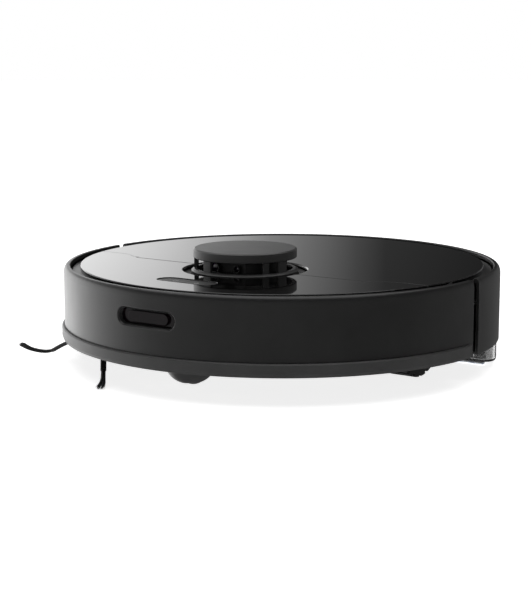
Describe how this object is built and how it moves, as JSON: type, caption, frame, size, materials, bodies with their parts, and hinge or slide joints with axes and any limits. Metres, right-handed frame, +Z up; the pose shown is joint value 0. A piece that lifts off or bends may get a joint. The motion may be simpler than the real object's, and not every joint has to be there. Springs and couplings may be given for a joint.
{
  "type": "robot vacuum",
  "caption": "Round robot vacuum with a laser turret, sprung bumper, hinged lid over the dust bin, side brush, main roller, sprung wheels, swivel caster and slide-off mop tank.",
  "frame": {"origin": "on the floor, under the axis of the round body", "axes": "+Z up; -Y is the driving direction, out of the bumper; +X is the robot's left side"},
  "size_m": [0.354, 0.3522, 0.0965],
  "materials": {
    "body_black": "satin moulded plastic",
    "trim_dark": "fine-textured plastic",
    "lid_gloss": "polished piano black",
    "cap_grey": "fine satin top",
    "window_dark": "dark infrared window",
    "key_grey": "satin",
    "base_grey": "moulded texture",
    "tank_smoke": "smoky translucent",
    "tank_part": "satin",
    "silicone": "soft rubber",
    "tyre_black": "moulded tread",
    "brush_rubber": "soft rubber",
    "brush_red": "moulded plastic",
    "arm_rubber": "soft rubber",
    "bristle": "nylon bundles",
    "cloth": "microfibre",
    "steel": "machined",
    "contact": "plated",
    "motor": "drawn cans",
    "cells": "shrink sleeve over metal cans",
    "board": "solder mask",
    "chips": "moulded packages",
    "bin_clear": "smoky translucent",
    "filter_paper": "pleated paper",
    "inner_plastic": "moulded plastic",
    "belt_rubber": "soft rubber"
  },
  "bodies": {
    "chassis": {"rear_housing": "body_black", "base_plate": "base_grey", "base_screws": "steel", "cliff_windows": "window_dark", "charge_contacts": "contact", "front_deck": "lid_gloss", "top_frame": "body_black", "turret_base": "inner_plastic", "brush_housing": "inner_plastic", "brush_guard": "trim_dark", "brush_gearbox": "inner_plastic", "wheel_wells": "inner_plastic", "pivot_pins": "steel", "caster_socket": "inner_plastic", "small_motors": "motor", "dust_bay": "inner_plastic", "dustbin_tub": "bin_clear", "dustbin_lid": "trim_dark", "dust_filter": "filter_paper", "fan_housing": "inner_plastic", "circuit_boards": "board", "board_parts": "chips", "battery_cells": "cells", "battery_door": "base_grey", "lidar_belt": "belt_rubber"},
    "bumper": {"bumper_shell": "body_black", "bumper_skirt": "trim_dark", "dock_bezel": "trim_dark", "dock_window": "window_dark", "wall_sensor_window": "window_dark"},
    "flap": {"rear_flap": "lid_gloss", "hinge_pins": "steel"},
    "power_key": {"button_power": "key_grey"},
    "home_key": {"button_home": "key_grey"},
    "turret_cap": {"turret_cap": "cap_grey"},
    "lidar_head": {"lidar_drum": "inner_plastic"},
    "lidar_pulley": {"lidar_pulley": "inner_plastic"},
    "main_brush": {"main_brush_core": "brush_red", "main_brush_fins": "brush_rubber"},
    "side_brush": {"side_brush_hub": "arm_rubber", "side_brush_bristles": "bristle", "side_brush_screw": "steel"},
    "suspension_left": {"wheel_arm_left": "inner_plastic"},
    "suspension_right": {"wheel_arm_right": "inner_plastic"},
    "wheel_left": {"tyre_left": "tyre_black", "wheel_hub_left": "trim_dark"},
    "wheel_right": {"tyre_right": "tyre_black", "wheel_hub_right": "trim_dark"},
    "caster": {"caster_fork": "trim_dark"},
    "caster_wheel": {"caster_wheel": "arm_rubber"},
    "fan": {"fan_rotor": "inner_plastic"},
    "guard_latch_left": {"guard_latch_left": "brush_red"},
    "guard_latch_right": {"guard_latch_right": "brush_red"},
    "water_tank": {"tank_shell": "tank_smoke", "tank_lid": "tank_part", "tank_stopper": "silicone", "mop_plate": "tank_part", "mop_cloth": "cloth"},
    "tank_clip_left": {"tank_clip_left": "tank_part"},
    "tank_clip_right": {"tank_clip_right": "tank_part"}
  },
  "joints": [
    {"name": "bumper_slide", "type": "slide", "parent": "chassis", "child": "bumper", "axis": [0, 1, 0], "range_m": [0, 0.004], "stiffness_N_per_m": 800, "springref_m": -0.003},
    {"name": "flap_hinge", "type": "hinge", "parent": "chassis", "child": "flap", "pos_m": [0, -0.0502, 0.0779], "axis": [1, 0, 0], "range_deg": [0, 85]},
    {"name": "power_key_press", "type": "slide", "parent": "chassis", "child": "power_key", "axis": [0, 0, -1], "range_m": [0, 0.0008], "stiffness_N_per_m": 800, "springref_m": -0.0008},
    {"name": "home_key_press", "type": "slide", "parent": "chassis", "child": "home_key", "axis": [0, 0, -1], "range_m": [0, 0.0008], "stiffness_N_per_m": 800, "springref_m": -0.0008},
    {"name": "turret_cap_press", "type": "slide", "parent": "chassis", "child": "turret_cap", "axis": [0, 0, -1], "range_m": [0, 0.001], "stiffness_N_per_m": 1500, "springref_m": -0.001},
    {"name": "lidar_spin", "type": "hinge", "parent": "chassis", "child": "lidar_head", "pos_m": [0, -0.0505, 0.08], "axis": [0, 0, 1], "continuous": true},
    {"name": "lidar_pulley_spin", "type": "hinge", "parent": "chassis", "child": "lidar_pulley", "pos_m": [-0.036, -0.0505, 0.068], "axis": [0, 0, 1], "continuous": true},
    {"name": "main_brush_spin", "type": "hinge", "parent": "chassis", "child": "main_brush", "pos_m": [0, 0.002, 0.024], "axis": [1, 0, 0], "continuous": true},
    {"name": "side_brush_spin", "type": "hinge", "parent": "chassis", "child": "side_brush", "pos_m": [-0.096, -0.109, 0.015], "axis": [0, 0, 1], "continuous": true},
    {"name": "suspension_left_swing", "type": "hinge", "parent": "chassis", "child": "suspension_left", "pos_m": [0.0995, 0.044, 0.04], "axis": [1, 0, 0], "range_deg": [0, 22], "stiffness_Nm_per_rad": 0.5, "springref_deg": 34.38},
    {"name": "suspension_right_swing", "type": "hinge", "parent": "chassis", "child": "suspension_right", "pos_m": [-0.0995, 0.044, 0.04], "axis": [1, 0, 0], "range_deg": [0, 22], "stiffness_Nm_per_rad": 0.5, "springref_deg": 34.38},
    {"name": "wheel_left_spin", "type": "hinge", "parent": "suspension_left", "child": "wheel_left", "pos_m": [0.118, 0.0025, 0.0345], "axis": [1, 0, 0], "continuous": true},
    {"name": "wheel_right_spin", "type": "hinge", "parent": "suspension_right", "child": "wheel_right", "pos_m": [-0.118, 0.0025, 0.0345], "axis": [1, 0, 0], "continuous": true},
    {"name": "caster_swivel", "type": "hinge", "parent": "chassis", "child": "caster", "pos_m": [0, -0.121, 0.03], "axis": [0, 0, 1], "continuous": true},
    {"name": "caster_wheel_spin", "type": "hinge", "parent": "caster", "child": "caster_wheel", "pos_m": [0, -0.118, 0.0105], "axis": [1, 0, 0], "continuous": true},
    {"name": "fan_spin", "type": "hinge", "parent": "chassis", "child": "fan", "pos_m": [0.1115, 0.084, 0.055], "axis": [0, 0, 1], "continuous": true},
    {"name": "guard_latch_left_slide", "type": "slide", "parent": "chassis", "child": "guard_latch_left", "axis": [-1, 0, 0], "range_m": [0, 0.0014], "stiffness_N_per_m": 500, "springref_m": -0.001},
    {"name": "guard_latch_right_slide", "type": "slide", "parent": "chassis", "child": "guard_latch_right", "axis": [1, 0, 0], "range_m": [0, 0.0014], "stiffness_N_per_m": 500, "springref_m": -0.001},
    {"name": "water_tank_slide", "type": "slide", "parent": "chassis", "child": "water_tank", "axis": [0, 1, 0], "range_m": [0, 0.13]},
    {"name": "tank_clip_left_press", "type": "slide", "parent": "water_tank", "child": "tank_clip_left", "axis": [-0.5299, -0.848, 0], "range_m": [0, 0.002], "stiffness_N_per_m": 600, "springref_m": -0.001},
    {"name": "tank_clip_right_press", "type": "slide", "parent": "water_tank", "child": "tank_clip_right", "axis": [0.5299, -0.848, 0], "range_m": [0, 0.002], "stiffness_N_per_m": 600, "springref_m": -0.001}
  ],
  "couplings": [
    {"joint": "lidar_pulley_spin", "follows": "lidar_spin", "ratio": 6.5}
  ]
}
